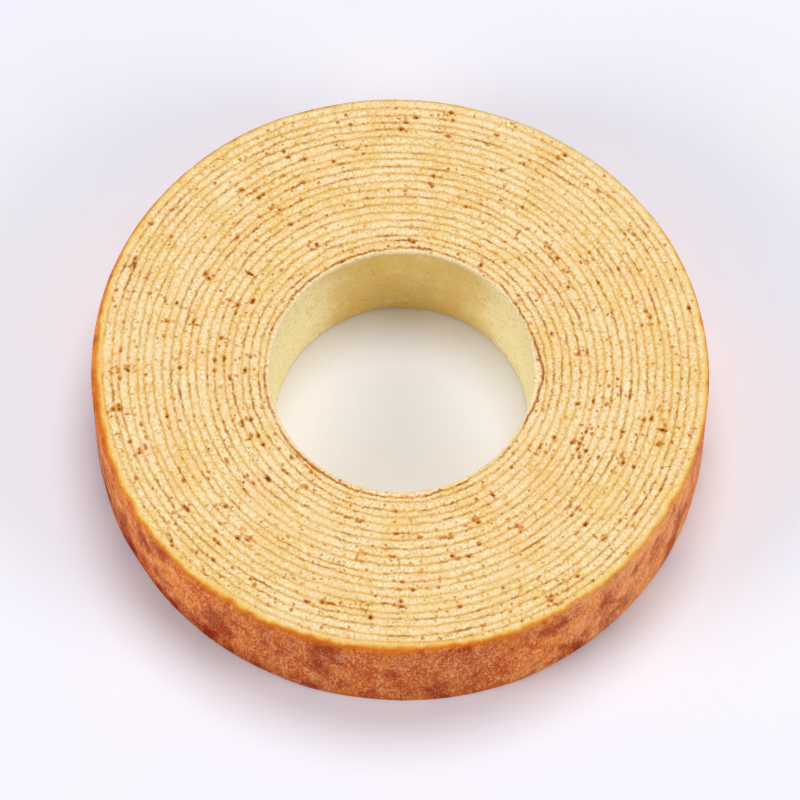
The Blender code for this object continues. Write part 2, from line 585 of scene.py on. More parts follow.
@dataclass(frozen=True)
class HoleFinish:
    """The first coat: crumb on the cut faces and the smooth, pale yellow skin that lay on the rod."""

    skin: Color = tone(255, 242, 186)
    # baked is the darker skin of a painted shade on the back of the hole's wall.
    baked: Color = tone(228, 193, 108)
    sandy: Color = tone(216, 176, 92)
    sheen_patch: Color = tone(252, 240, 202)
    lip: Color = tone(255, 242, 206)
    pinhole: Color = tone(160, 116, 50)
    streak: Color = tone(120, 70, 24)
    crumb: CrumbFinish = CrumbFinish()
    roughness: float = 0.50
    shine: float = 0.30
    bump_mm: float = 0.08
    pinhole_stretch: Triple = (1.8, 1.8, 1.0)
    streak_stretch: Triple = (3.0, 3.0, 1.0)
    pinholes: Scatter = Scatter(0.80, (0.05, 0.27), 0.50)
    streaks: Scatter = Scatter(2.6, (0.06, 0.26), 0.12)

    def skin_color(self, net: Net, place: Socket, down: Signal) -> tuple[Socket, Signal]:
        """The colour of the skin on the wall of the hole.

        Args:
            net: the material that it is drawn in.
            place: coordinates in millimetres.
            down: millimetres below the lip.

        Returns:
            The colour, and where its pinholes are, from 0 to 1.
        """
        # On the wall of the hole the stored browning is a painted shade at its back, with some random
        # variation, which turns the skin to the darker colour.
        browning = net.stored("browning") + net.sway(place, 9.0, 0.7, 2.0, 81.0)
        color = net.mix(self.skin, self.baked, net.step(browning, 0.0, 1.0))
        # Paler skin just below the lip: partly the skin's own tone and partly a painted highlight where the
        # rim catches the light, against the shade deeper in the hole.
        color = net.mix(color, self.lip, net.step(down + net.sway(place, 3.0, 1.6, 2.0, 83.0), 2.4, 0.3))
        # Pale whitish patches at random: painted sheen on the skin.
        color = net.mix(color, self.sheen_patch, net.step(net.noise(place, 5.0, 4.0, 89.0), 0.46, 0.74) * 0.24)
        color = net.mix(color, self.sandy, net.step(net.noise(place, 1.3, 3.0, 86.0), 0.50, 0.70) * 0.40)
        color = net.mix(color, self.sandy, net.step(net.noise(place, 0.45, 1.0, 88.0), 0.52, 0.66) * 0.35)
        dotted = net.step(net.noise(place, 11.0, 1.0, 87.0), 0.44, 0.58)
        flat_place = net.warped(net.place_mm(self.pinhole_stretch), 0.5, 0.2, 84.0)
        pinholes = net.step(net.dots(flat_place, self.pinholes), -0.12, 0.08)
        color = net.mix(color, self.pinhole, pinholes * (0.10 + 0.38 * dotted))
        streaks = net.dots(net.place_mm(self.streak_stretch), self.streaks)
        return net.mix(color, self.streak, net.step(streaks, -0.08, 0.10) * 0.75), pinholes

    def material(self) -> bpy.types.Material:
        """The whole of the first coat.

        Returns:
            The material.
        """
        net = Net("hole_skin")
        place = net.place_mm()
        crumb_color, crumb_height = self.crumb.surface(net)
        down = net.stored("down")
        color, pinholes = self.skin_color(net, place, down)
        on_skin = net.step(down, 0.0, 0.6)
        color = net.mix(crumb_color, color, on_skin)
        soft = net.noise(place, 1.0, 2.0, 85.0) * 0.5 - pinholes * 0.5
        height = crumb_height * (1 - on_skin) + soft * on_skin
        return net.finished(color, self.roughness, self.shine, net.bump(height, self.bump_mm))


@dataclass(frozen=True)
class FloorFinish:
    """A plain pale studio floor."""

    pale: Color = tone(243, 244, 255)
    warm: Color = tone(245, 244, 252)
    roughness: float = 0.8
    shine: float = 0.3
    bump_mm: float = 0.01

    def material(self) -> bpy.types.Material:
        """The floor's material.

        Returns:
            The material.
        """
        net = Net("floor")
        place = net.place_mm()
        color = net.mix(self.pale, self.warm, net.step(net.noise(place, 60.0, 1.0), 0.4, 0.6))
        normal = net.bump(net.noise(place, 0.8, 1.0, 91.0), self.bump_mm)
        return net.finished(color, self.roughness, self.shine, normal)


RING_SAMPLES = 8192


@lru_cache(maxsize=None)
def ring_samples(seed: int, longest: int, shortest: int, fade: float) -> np.ndarray:
    """A random wobble round a circle.

    Args:
        seed: picks the wobble.
        longest: the fewest waves round the circle.
        shortest: the most waves round the circle.
        fade: how much weaker the short waves are, as a power.

    Returns:
        Evenly spaced samples, with a spread of one.
    """
    draw = np.random.default_rng(seed)
    waves = np.arange(longest, shortest + 1)
    spectrum = np.zeros(RING_SAMPLES // 2 + 1, complex)
    phases = np.exp(1j * draw.uniform(0, TURN, len(waves)))
    spectrum[waves] = waves**-fade * phases * draw.uniform(0.4, 1.0, len(waves))
    samples = np.fft.irfft(spectrum, RING_SAMPLES)
    return samples / samples.std()


def wobble(angles: np.ndarray, seed: int, longest: int, shortest: int, fade: float = 0.5) -> np.ndarray:
    """The random wobble of ring_samples at these angles."""
    spots = np.arange(RING_SAMPLES) * TURN / RING_SAMPLES
    return np.interp(angles, spots, ring_samples(seed, longest, shortest, fade), period=TURN)


LATTICE = 64


@lru_cache(maxsize=None)
def lattice(seed: int) -> np.ndarray:
    """Random numbers from -1 to 1 on a cube of cells, which repeats."""
    return np.random.default_rng(seed).uniform(-1, 1, (LATTICE, LATTICE, LATTICE))


def relief(places: np.ndarray, cell: float, seed: int) -> np.ndarray:
    """Smooth random relief in space.

    Args:
        places: points, with their coordinates last.
        cell: the size of its bumps, in the points' unit.
        seed: picks the pattern.

    Returns:
        A number from -1 to 1 for each point.
    """
    scaled = places / cell
    whole = np.floor(scaled).astype(np.int64)
    part = scaled - whole
    part = part * part * (3 - 2 * part)
    numbers = lattice(seed)
    total = np.zeros(places.shape[:-1])
    for corner in np.ndindex(2, 2, 2):
        index = (whole + corner) % LATTICE
        weight = np.where(corner, part, 1 - part).prod(axis=-1)
        total += weight * numbers[index[..., 0], index[..., 1], index[..., 2]]
    return total


def smooth_step(value: np.ndarray, low: float, high: float) -> np.ndarray:
    """Rises smoothly from 0 to 1 as the value goes from low to high."""
    share = np.clip((value - low) / (high - low), 0, 1)
    return share * share * (3 - 2 * share)


@dataclass(frozen=True)
class Lobe:
    """Something that is strongest in one direction and fades on both sides of it.

    The direction is in degrees, and so is the width at which about a third is left. A flatness of 4 gives the
    lobe a flat top.
    """

    direction: float
    width: float
    strength: float = 1.0
    flatness: int = 2

    def at(self, angles: np.ndarray) -> np.ndarray:
        """How strong it is at these angles, which are in radians."""
        off = (np.degrees(angles) - self.direction + 180) % 360 - 180
        return self.strength * np.exp(-((off / self.width) ** self.flatness))


@dataclass(frozen=True)
class CakeForm:
    """The uneven ring that the layers share: its sizes, its outline and where the layers meet."""

    outer_diameter: float = 0.1620
    hole_diameter: float = 0.0695
    height: float = 0.0310
    layer_count: int = 21
    hole_taper: float = 0.0016
    outside_flare: float = 0.0004
    first_coat: float = 0.50
    coats_to_full: float = 1.1
    inner_coat: float = 1.04
    outer_coat: float = 0.96
    crust_coat: float = 1.44
    outline_waves: Waves = ((2, 0.0005, 123.0), (3, 0.0003, 24.0), (4, 0.0001, 35.0))
    hole_waves: Waves = ((2, 0.0003, 81.0),)
    hole_shift: tuple[float, float] = (0.0005, -0.0009)
    outline_samples: int = 721

    @property
    def outer_radius(self) -> float:
        """Radius of the outside at the top."""
        return self.outer_diameter / 2

    @property
    def hole_radius(self) -> float:
        """Radius of the hole at the top."""
        return self.hole_diameter / 2

    def relative_thickness(self, index: int) -> float:
        """Thickness of a layer compared with a middling one.

        Args:
            index: the layer's number, counted from the hole, where it is 0.

        Returns:
            The share of a middling layer's thickness.
        """
        if index == self.layer_count - 1:
            return self.crust_coat
        settled = 1 - (1 - self.first_coat) * math.exp(-index / self.coats_to_full)
        share = index / (self.layer_count - 1)
        return settled * (self.inner_coat + (self.outer_coat - self.inner_coat) * share)

    def meeting_radius(self, meeting: int) -> float:
        """Radius at the top where two layers meet.

        Args:
            meeting: how many layers lie inside it; 0 is the hole and layer_count the outside.

        Returns:
            The radius.
        """
        thickness = [self.relative_thickness(index) for index in range(self.layer_count)]
        unit = (self.outer_radius - self.hole_radius) / sum(thickness)
        return self.hole_radius + unit * sum(thickness[:meeting])

    def share_across(self, radius: np.ndarray) -> np.ndarray:
        """How far a radius lies from the hole, 0, to the outside, 1."""
        return (radius - self.hole_radius) / (self.outer_radius - self.hole_radius)

    def standing_out(self, waves: Waves, angles: np.ndarray) -> np.ndarray:
        """How far a wavy ring stands out from round in each direction."""
        swings = [depth * np.cos(count * (angles - math.radians(crest))) for count, depth, crest in waves]
        return np.sum(swings, axis=0)

    def middle(self) -> tuple[float, float]:
        """Middle of the outline's box, which the cake is moved to the Z axis by.

        Returns:
            X and Y.
        """
        angles = np.linspace(0, TURN, self.outline_samples)
        reach = self.outer_radius + self.standing_out(self.outline_waves, angles)
        sides = (reach * np.cos(angles), reach * np.sin(angles))
        return tuple((side.min() + side.max()) / 2 for side in sides)

    def places(self, angles: np.ndarray, radius: np.ndarray, height: np.ndarray) -> np.ndarray:
        """Points of the uneven cake.

        Args:
            angles: the direction of each line of points.
            radius: the radius of each point as it would be at the top of a round cake, a column for each row.
            height: the height of each point.

        Returns:
            The points, with their coordinates last.
        """
        share = self.share_across(radius)
        fallen = 1 - height / self.height
        tapered = radius + fallen * (self.outside_flare / 2 * share - self.hole_taper / 2 * (1 - share))
        outline = self.standing_out(self.outline_waves, angles)[:, None]
        hole = self.standing_out(self.hole_waves, angles)[:, None]
        reach = tapered + outline + (hole - outline) * (1 - share) ** 2
        middle = self.middle()
        across = reach * np.cos(angles)[:, None] + self.hole_shift[0] * (1 - share) - middle[0]
        along = reach * np.sin(angles)[:, None] + self.hole_shift[1] * (1 - share) - middle[1]
        return np.stack([across, along, height], axis=-1)


@dataclass(frozen=True)
class BrownedLine:
    """The browned line between two layers: where it runs on a cut face, and how dark it is.

    The line next to the hole has scorches. A swerve belongs to the line whose meeting stands before it.
    """

    form: CakeForm
    meeting: int
    face: Face
    drift: float = 0.00015
    wander: float = 0.00011
    tremble: float = 0.00008
    near_hole: float = 0.34
    near_hole_lines: float = 2.5
    level: tuple[float, float] = (0.24, 0.48)
    blotches: float = 0.15
    speckle: float = 0.12
    darkest: float = 1.8
    scorches: ClassVar[tuple[Lobe, ...]] = (
        Lobe(226.0, 13.0, 1.2),
        Lobe(358.0, 16.0, 1.4),
        Lobe(275.0, 45.0, 0.3),
        Lobe(100.0, 50.0, 0.4),
    )
    swerves: ClassVar[tuple[tuple[int, Lobe], ...]] = (
        (1, Lobe(357.0, 11.0, 0.0012)),
        (2, Lobe(352.0, 16.0, 0.0004)),
        (2, Lobe(223.0, 12.0, -0.0012)),
        (3, Lobe(223.0, 16.0, -0.0004)),
    )

    @property
    def seed(self) -> int:
        """Picks this line's own wobbles."""
        return 1000 * self.face.value + 10 * self.meeting

    @property
    def at_an_edge(self) -> bool:
        """Whether it is the cake's edge at the hole or outside, and so no line between layers."""
        return self.meeting in (0, self.form.layer_count)

    def radius(self, angles: np.ndarray) -> np.ndarray:
        """Where the line runs, or the hole's or the outside's edge.

        Args:
            angles: the directions, in radians.

        Returns:
            Its radius in each direction.
        """
        straight = self.form.meeting_radius(self.meeting)
        if self.at_an_edge:
            return straight + 0.5 * self.wander * wobble(angles, self.seed, 5, 24)
        slow = self.drift * wobble(angles, self.seed + 5, 1, 4)
        middling = self.wander * wobble(angles, self.seed, 5, 60)
        quick = self.tremble * wobble(angles, self.seed + 1, 60, 520, 0.3)
        return straight + (slow + middling) + quick + self.swerve(angles)

    def swerve(self, angles: np.ndarray) -> np.ndarray:
        """How far the line leaves its course where it nearly meets its neighbour, on the upper face.

        Args:
            angles: the directions, in radians.

        Returns:
            The distance outwards in each direction.
        """
        total = np.zeros_like(angles)
        for meeting, lobe in self.swerves:
            if meeting == self.meeting and self.face is Face.UPPER:
                total += lobe.at(angles)
        return total

    def browning(self, angles: np.ndarray) -> np.ndarray:
        """How dark the line is.

        Args:
            angles: the directions, in radians.

        Returns:
            The darkness in each direction; 0 is faint, 1 is dark, and a scorch is more.
        """
        if self.at_an_edge:
            return np.zeros_like(angles)
        draw = np.random.default_rng(self.seed + 2)
        level = draw.uniform(*self.level) + self.near_hole * math.exp(-self.meeting / self.near_hole_lines)
        shade = level + self.blotches * wobble(angles, self.seed + 3, 2, 30, 0.3)
        shade = shade + self.speckle * wobble(angles, self.seed + 4, 30, 220)
        if self.meeting == 1:
            for scorch in self.scorches:
                shade = shade + scorch.at(angles)
        return np.clip(shade, 0, self.darkest)


@dataclass(frozen=True)
class Pores:
    """The open pores of one cut face that are large enough to be dents.

    A random number to the power of smallness gives a size, so most pores are small. A crack is a pore that is
    stretched across the layers. The landmarks are the pores that catch the eye: direction in degrees, then
    radius and size in millimetres.
    """

    form: CakeForm
    face: Face
    singles: int = 210
    clusters: int = 95
    largest_cluster: int = 6
    along_lines: float = 0.45
    cracks: float = 0.05
    smallest: float = 0.00012
    largest: float = 0.00058
    smallness: float = 2.0
    spread: float = 0.0011
    off_line: float = 0.0002
    clear_rim: float = 0.002
    crack_stretch: float = 0.30
    stretch: tuple[float, float] = (0.7, 1.9)
    farthest: float = 0.0016
    outside_mm: float = -1.0
    landmarks: ClassVar[tuple[Triple, ...]] = (
        (100.5, 73.7, 0.45),
        (115.7, 68.9, 0.55),
        (112.5, 66.8, 0.50),
        (106.4, 63.8, 0.50),
        (125.4, 62.5, 0.45),
        (145.0, 48.4, 0.75),
        (152.9, 43.8, 0.70),
        (138.4, 57.4, 0.50),
        (147.6, 71.0, 0.45),
        (162.2, 61.6, 0.50),
        (180.5, 41.0, 0.60),
        (194.0, 69.7, 0.50),
        (216.9, 68.7, 0.60),
        (222.8, 46.8, 0.80),
        (264.2, 71.1, 0.65),
        (282.8, 69.1, 0.55),
        (292.0, 53.5, 0.50),
        (303.4, 42.8, 0.60),
        (307.5, 74.4, 0.45),
        (317.0, 65.0, 0.70),
        (334.9, 63.6, 0.60),
        (345.5, 70.3, 0.75),
        (15.3, 40.8, 0.50),
        (70.0, 74.5, 0.50),
        (87.0, 75.0, 0.60),
    )

    def placed(self) -> list[Triple]:
        """The landmarks, which only the upper face has.

        Returns:
            Direction in radians, radius and size of each.
        """
        if self.face is Face.LOWER:
            return []
        return [(math.radians(at), radius * MM, size * MM) for at, radius, size in self.landmarks]

    def drawn(self, draw: np.random.Generator) -> list[Triple]:
        """The pores that lie anywhere, singly and in clusters.

        Args:
            draw: gives the random numbers.

        Returns:
            Direction in radians, radius and size of each.
        """
        form = self.form
        lines = np.array([form.meeting_radius(meeting) for meeting in range(1, form.layer_count)])
        spots = []
        for number in range(self.singles + self.clusters):
            angle = draw.uniform(0, TURN)
            radius = math.sqrt(draw.uniform(form.hole_radius**2, (form.outer_radius - self.clear_rim) ** 2))
            count = 1 if number < self.singles else int(draw.integers(2, self.largest_cluster + 1))
            for _ in range(count):
                offset = draw.normal(0, self.spread, 2) * (count > 1)
                reach = radius + offset[1]
                if draw.random() < self.along_lines:
                    reach = lines[np.argmin(np.abs(lines - reach))] + draw.normal(0, self.off_line)
                size = self.smallest + (self.largest - self.smallest) * draw.random() ** self.smallness
                spots.append((angle + offset[0] / radius, reach, size))
        return spots

    def scattered(self) -> np.ndarray:
        """Where the pores lie and how large they are.

        Returns:
            A row for each pore: direction, radius at the top, size along the layer, size across it.
        """
        draw = np.random.default_rng(7000 + self.face.value)
        rows = []
        for angle, radius, size in self.placed() + self.drawn(draw):
            cracked = draw.random() < self.cracks
            stretch = self.crack_stretch if cracked else draw.uniform(*self.stretch)
            rows.append((angle % TURN, radius, size * math.sqrt(stretch), size / math.sqrt(stretch)))
        return np.array(rows)

    def inside(self, angles: np.ndarray, radius: np.ndarray) -> np.ndarray:
        """How far inside a pore each point lies.

        Args:
            angles: the direction of each line of points, evenly spaced.
            radius: the radius of each point at the top.

        Returns:
            Millimetres inside the nearest pore's edge; negative outside, and no less than outside_mm.
        """
        found = np.full(radius.shape, self.outside_mm)
        spacing = TURN / len(angles)
        low = radius.min() - self.farthest
        high = radius.max() + self.farthest
        for angle, centre, along, across in self.scattered():
            if not low < centre < high:
                continue
            span = int(self.farthest / centre / spacing) + 1
            steps = (int(angle / spacing) + np.arange(-span, span + 1)) % len(angles)
            turned = (angles[steps] - angle + math.pi) % TURN - math.pi
            sideways = turned[:, None] * centre / along
            outwards = (radius[steps] - centre) / across
            depth = (1 - np.hypot(sideways, outwards)) * math.sqrt(along * across) / MM
            found[steps] = np.maximum(found[steps], depth)
        return found


@dataclass
class Strip:
    """A run of rows round the cake. Each array has a line for each direction and a column for each row."""

    stored: ClassVar[tuple[str, ...]] = ("line_gap", "browning", "pore", "down")
    arrays: ClassVar[tuple[str, ...]] = ("radius", "height", *stored)
    far_mm: ClassVar[float] = 3.0

    radius: np.ndarray
    height: np.ndarray
    line_gap: np.ndarray
    browning: np.ndarray
    pore: np.ndarray
    down: np.ndarray
    map_share: float

    @classmethod
    def wall(cls, radius: np.ndarray, height: np.ndarray, down: np.ndarray, map_share: float) -> "Strip":
        """A run with no browned line and no pore on it.

        Args:
            radius: radius of each point at the top.
            height: height of each point.
            down: millimetres below the skin's edge.
            map_share: how much room the rows get on the map, for their true width.

        Returns:
            The run.
        """
        far = np.full(radius.shape, cls.far_mm)
        none = np.zeros(radius.shape)
        return cls(radius, height, far, none, none + Pores.outside_mm, down, map_share)

    def turned_back(self) -> "Strip":
        """The same rows in the opposite order."""
        return Strip(*[getattr(self, name)[:, ::-1] for name in self.arrays], self.map_share)


@dataclass
class Coat:
    """One baked layer between two others, as a closed ring with a cut face above and below."""

    form: CakeForm
    index: int
    material: bpy.types.Material
    spacing: float = 0.00041
    upper_rows: int = 9
    lower_rows: int = 6
    face_margin: float = 0.00012
    dome: float = 0.00017
    dome_width_mm: float = 0.85
    notch: float = 0.00006
    notch_width_mm: float = 0.15
    crumb_relief: float = 0.00007
    crumb_cells: tuple[float, float] = (0.9 * MM, 0.45 * MM)
    calm_mm: float = 0.3
    cut_wave: float = 0.00006
    wave_cell: float = 24 * MM
    pore_depth: float = 0.85
    hidden_share: float = 0.04
    hidden_rows: tuple[float, ...] = (0.25, 0.5, 0.75)
    crowding: float = 0.45
    far_down: float = -3.0
    map_strips: int = 10
    slot: str = "crumb"

    @property
    def name(self) -> str:
        """The name of the solid that this layer stands for."""
        return f"layer_{self.index + 1:02d}"

    def angles(self) -> np.ndarray:
        """Evenly spaced directions, a multiple of the strips that the map is cut in.

        Returns:
            The directions, in radians.
        """
        around = TURN * self.form.meeting_radius(self.index + 1) / self.spacing
        count = self.map_strips * round(around / self.map_strips)
        return np.arange(count) * TURN / count

    def face_edges(self, face: Face, angles: np.ndarray) -> tuple[np.ndarray, np.ndarray]:
        """Where the layer's part of a cut face begins and ends.

        Args:
            face: the upper or the lower cut face.
            angles: the directions, in radians.

        Returns:
            Inner and outer radius in each direction.
        """
        inner = BrownedLine(self.form, self.index, face).radius(angles)
        outer = BrownedLine(self.form, self.index + 1, face).radius(angles)
        return inner, outer

    def across(self, rows: int) -> np.ndarray:
        """Spaces the rows of a face, closer together towards the lines.

        Args:
            rows: how many there are.

        Returns:
            Where each lies across the face, from 0 to 1.
        """
        even = np.linspace(0, 1, rows)
        crowded = 0.5 - 0.5 * np.cos(math.pi * even)
        return (1 - self.crowding) * even + self.crowding * crowded

    def cut_face(self, face: Face, angles: np.ndarray) -> Strip:
        """The layer's part of a cut face, from its inner line to its outer one.

        Args:
            face: the upper or the lower cut face.
            angles: the direction of each line of points.

        Returns:
            The rows of the face.
        """
        rows = self.upper_rows if face is Face.UPPER else self.lower_rows
        share = self.across(rows)[None, :]
        inner, outer = self.face_edges(face, angles)
        width = (outer - inner)[:, None]
        radius = inner[:, None] + width * share
        gaps = [share * width, (1 - share) * width]
        lines = [BrownedLine(self.form, self.index, face), BrownedLine(self.form, self.index + 1, face)]
        for number, line in enumerate(lines):
            if line.at_an_edge:
                gaps[number] = gaps[number] + Strip.far_mm * MM
        gap = np.minimum(*gaps) / MM
        shades = [line.browning(angles)[:, None] for line in lines]
        browning = np.where(gaps[0] < gaps[1], shades[0], shades[1])
        pore = Pores(self.form, face).inside(angles, radius)
        flat = self.form.places(angles, radius, np.full(radius.shape, self.form.height))
        drop = self.drop(face, flat, gap, browning, pore)
        height = self.form.height - drop if face is Face.UPPER else drop
        return Strip(radius, height, gap, browning, pore, self.down_on_face(share * width, width), 1.0)

    def down_on_face(self, from_inner: np.ndarray, width: np.ndarray) -> np.ndarray:
        """Millimetres of surface below the nearest skin's edge, negative on the cut face.

        Args:
            from_inner: distance of each point from the face's inner edge.
            width: the face's width in each direction; not used here.

        Returns:
            The value for each point.
        """
        return np.full(from_inner.shape, self.far_down)

    def drop(
        self, face: Face, flat: np.ndarray, gap: np.ndarray, browning: np.ndarray, pore: np.ndarray
    ) -> np.ndarray:
        """How far the surface lies behind the plane of its cut face.

        Args:
            face: the upper or the lower cut face.
            flat: the points on that plane.
            gap: millimetres to the nearest browned line.
            browning: how dark that line is.
            pore: millimetres inside a pore.

        Returns:
            The distance for each point, never negative.
        """
        seed = 300 + face.value
        domed = self.dome * (1 - smooth_step(gap, 0, self.dome_width_mm))
        notched = self.notch * (0.5 + browning) * np.exp(-gap / self.notch_width_mm)
        coarse_cell, fine_cell = self.crumb_cells
        crumbs = 0.65 * relief(flat, coarse_cell, seed) + 0.35 * relief(flat, fine_cell, seed + 10)
        rough = self.crumb_relief * crumbs * smooth_step(gap, 0, self.calm_mm)
        slow = self.cut_wave * relief(flat, self.wave_cell, seed + 20)
        pitted = self.pore_depth * np.maximum(pore + 0.03, 0) * MM
        return np.maximum(self.face_margin + slow + domed + notched + rough + pitted, 0)

    def side(self, upper: Strip, lower: Strip, side: Side) -> Strip:
        """An upright side that joins the edges of the two cut faces. Here it is a hidden one.

        Args:
            upper: the upper cut face.
            lower: the lower cut face.
            side: the side that is wanted.

        Returns:
            The rows from the upper edge down to the lower one, without those edges.
        """
        fallen = np.array(self.hidden_rows)[None, :]
        column = [side.value]
        radius = upper.radius[:, column] * (1 - fallen) + lower.radius[:, column] * fallen
        height = upper.height[:, column] * (1 - fallen) + lower.height[:, column] * fallen
        return Strip.wall(radius, height, np.full(radius.shape, self.far_down), self.hidden_share)

    def strips(self, angles: np.ndarray) -> list[Strip]:
        """The runs of rows that close the ring.

        Args:
            angles: the direction of each line of points.

        Returns:
            The upper face outwards, down the outer side, the lower face inwards, and up the inner side.
        """
        upper = self.cut_face(Face.UPPER, angles)
        lower = self.cut_face(Face.LOWER, angles)
        outer = self.side(upper, lower, Side.OUTER)
        inner = self.side(upper, lower, Side.INNER)
        return [upper, outer, lower.turned_back(), inner.turned_back()]

    def build(self) -> bpy.types.Object:
        """Makes the layer, dresses it and puts it in place of its solid.

        Returns:
            The piece.
        """
        angles = self.angles()
        strips = self.strips(angles)
        radius = np.concatenate([strip.radius for strip in strips], axis=1)
        height = np.concatenate([strip.height for strip in strips], axis=1)
        places = self.form.places(angles, radius, height)
        mesh = ring_mesh(self.name + "_coat", places)
        for field_name in Strip.stored:
            values = np.concatenate([getattr(strip, field_name) for strip in strips], axis=1)
            attribute = mesh.attributes.new(field_name, "FLOAT", "POINT")
            attribute.data.foreach_set("value", values.astype(np.float32).ravel())
        lay_map(mesh, places, self.row_weights(strips), self.map_strips)
        mesh.materials.append(self.material)
        piece = bpy.data.objects.new(self.name + "_coat", mesh)
        bpy.context.scene.collection.objects.link(piece)
        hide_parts(self.name)
        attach(piece, BODY)
        return piece

    def row_weights(self, strips: list[Strip]) -> np.ndarray:
        """How much room on the map each row's step to the next one gets, for its true width."""
        return np.concatenate([np.full(strip.radius.shape[1], strip.map_share) for strip in strips])


SHARP_ANGLE = math.radians(55)
MAP_MARGIN = 0.004
STRIP_MARGIN = 0.02


def ring_mesh(name: str, places: np.ndarray) -> bpy.types.Mesh:
    """A closed ring of quads.

    Args:
        name: the mesh's name.
        places: points by direction and row. Both run in a circle, the rows outwards over the top and down.

    Returns:
        The mesh, smooth but for its sharp edges.
    """
    around, rows = places.shape[:2]
    numbers = np.arange(around * rows).reshape(around, rows)
    next_row = np.roll(numbers, -1, axis=1)
    across = [numbers, next_row, np.roll(next_row, -1, axis=0), np.roll(numbers, -1, axis=0)]
    quads = np.stack(across, axis=-1)
    mesh = bpy.data.meshes.new(name)
    mesh.vertices.add(around * rows)
    mesh.vertices.foreach_set("co", places.astype(np.float32).ravel())
    mesh.loops.add(quads.size)
    mesh.loops.foreach_set("vertex_index", quads.astype(np.int32).ravel())
    mesh.polygons.add(around * rows)
    mesh.polygons.foreach_set("loop_start", np.arange(0, quads.size, 4, dtype=np.int32))
    mesh.update(calc_edges=True)
    mesh.shade_smooth()
    mesh.set_sharp_from_angle(angle=SHARP_ANGLE)
    return mesh


def lay_map(mesh: bpy.types.Mesh, places: np.ndarray, weights: np.ndarray, pieces: int) -> None:
    """Unrolls a ring into strips that lie one above another on a square map.

    Args:
        mesh: the ring, made by ring_mesh from these places.
        places: points by direction and row.
        weights: how much room each row's step to the next one gets, for its true width.
        pieces: how many strips the ring is cut in.
    """
    around, rows = places.shape[:2]
    widths = np.linalg.norm(np.roll(places, -1, axis=1) - places, axis=-1).mean(axis=0) * weights
    upright = np.concatenate([[0], np.cumsum(widths)]) / widths.sum()
    per_piece = around // pieces
    piece, step = np.divmod(np.arange(around), per_piece)
    left = MAP_MARGIN + (1 - 2 * MAP_MARGIN) * step / per_piece
    right = MAP_MARGIN + (1 - 2 * MAP_MARGIN) * (step + 1) / per_piece
    low = (piece[:, None] + STRIP_MARGIN + (1 - 2 * STRIP_MARGIN) * upright[None, :-1]) / pieces
    high = (piece[:, None] + STRIP_MARGIN + (1 - 2 * STRIP_MARGIN) * upright[None, 1:]) / pieces
    left = np.broadcast_to(left[:, None], low.shape)
    right = np.broadcast_to(right[:, None], low.shape)
    corners = np.stack([left, low, left, high, right, high, right, low], axis=-1)
    layer = mesh.uv_layers.new(name="OFBake")
    layer.data.foreach_set("uv", corners.astype(np.float32).ravel())


@dataclass
class HoleCoat(Coat):
    """The first layer, whose inner side is the smooth wall of the hole."""

    upper_rows: int = 7
    lower_rows: int = 5
    lip_rounding: float = 0.00040
    lip_steps: int = 4
    wall_step: float = 0.00055
    skin_relief: float = 0.00005
    skin_cell: float = 4.0 * MM
    painted_shade_sector: Lobe = Lobe(88.0, 40.0, 1.0, 4)
    map_strips: int = 3
    slot: str = "hole_skin"

    def face_edges(self, face: Face, angles: np.ndarray) -> tuple[np.ndarray, np.ndarray]:
        """Where the rounded lip ends on a cut face, and the layer's outer radius."""
        inner, outer = super().face_edges(face, angles)
        return inner + self.lip_rounding, outer

    def down_on_face(self, from_inner: np.ndarray, width: np.ndarray) -> np.ndarray:
        """The distance to the lip, negative."""
        return -from_inner / MM

    def side(self, upper: Strip, lower: Strip, side: Side) -> Strip:
        """The hidden outer side, or the wall of the hole between its two rounded lips.

        Args:
            upper: the upper cut face.
            lower: the lower cut face.
            side: the side that is wanted.

        Returns:
            The rows from the upper edge down to the lower one, without those edges.
        """
        if side is Side.OUTER:
            return super().side(upper, lower, side)
        edges = Edge(upper, lower, side, self.lip_rounding, self.lip_rounding, self.lip_steps)
        radius, height, below = edges.rounded_wall(self.form.height, self.wall_step)
        places = self.form.places(self.angles(), radius, height)
        swell = self.skin_relief * relief(places, self.skin_cell, 401) * smooth_step(below, 0, 1.0)
        wall = Strip.wall(radius + swell, height, below, 1.0)
        # Painted shade: the back of the hole's wall, round 88 degrees, is stored as browning so that its skin
        # is drawn darker.
        wall.browning = wall.browning + self.painted_shade_sector.at(self.angles())[:, None]
        return wall


